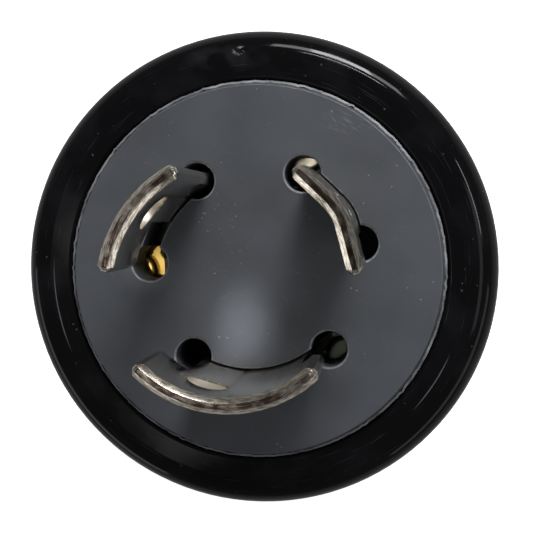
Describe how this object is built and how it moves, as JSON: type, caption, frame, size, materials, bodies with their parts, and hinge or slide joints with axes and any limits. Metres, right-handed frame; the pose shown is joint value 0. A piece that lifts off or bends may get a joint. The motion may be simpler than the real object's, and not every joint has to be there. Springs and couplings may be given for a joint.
{
  "type": "twist lock plug",
  "caption": "Rewirable twist lock plug: round black shell, grey face insert, curved locking blades, cord clamp at the rear.",
  "frame": {"origin": "middle of the flat cord end, on the plug's axis", "axes": "+Z along the plug's axis from the cord end to the blade tips; +Y from the middle towards the gap between the two narrow blades, away from the wide blade"},
  "size_m": [0.0506, 0.0506, 0.08],
  "materials": {
    "shell": "moulded, glossy",
    "face_insert": "moulded, satin",
    "terminal_carrier": "moulded, satin",
    "blade_nickel": "nickel plated, bright, worn",
    "brass": "plain brass, bright",
    "steel": "plated, bright",
    "green_screw": "dyed green, satin",
    "rubber": "matt",
    "clamp_plastic": "moulded, satin"
  },
  "bodies": {
    "root": {"shell": "shell", "face_insert": "face_insert", "terminal_carrier": "terminal_carrier", "hot_blade": "blade_nickel", "neutral_blade": "blade_nickel", "ground_blade": "blade_nickel", "hot_terminal_screw": "brass", "neutral_terminal_screw": "steel", "ground_terminal_screw": "green_screw", "hot_clamp_plate": "brass", "neutral_clamp_plate": "steel", "ground_clamp_plate": "steel", "body_screw_1": "steel", "body_screw_2": "steel", "body_screw_3": "steel", "thread_insert_1": "brass", "thread_insert_2": "brass", "thread_insert_3": "brass", "cord_grommet": "rubber", "head_side_jaw": "clamp_plastic", "nut_side_jaw": "clamp_plastic", "left_clamp_screw": "steel", "right_clamp_screw": "steel", "left_clamp_nut": "steel", "right_clamp_nut": "steel"}
  },
  "joints": []
}
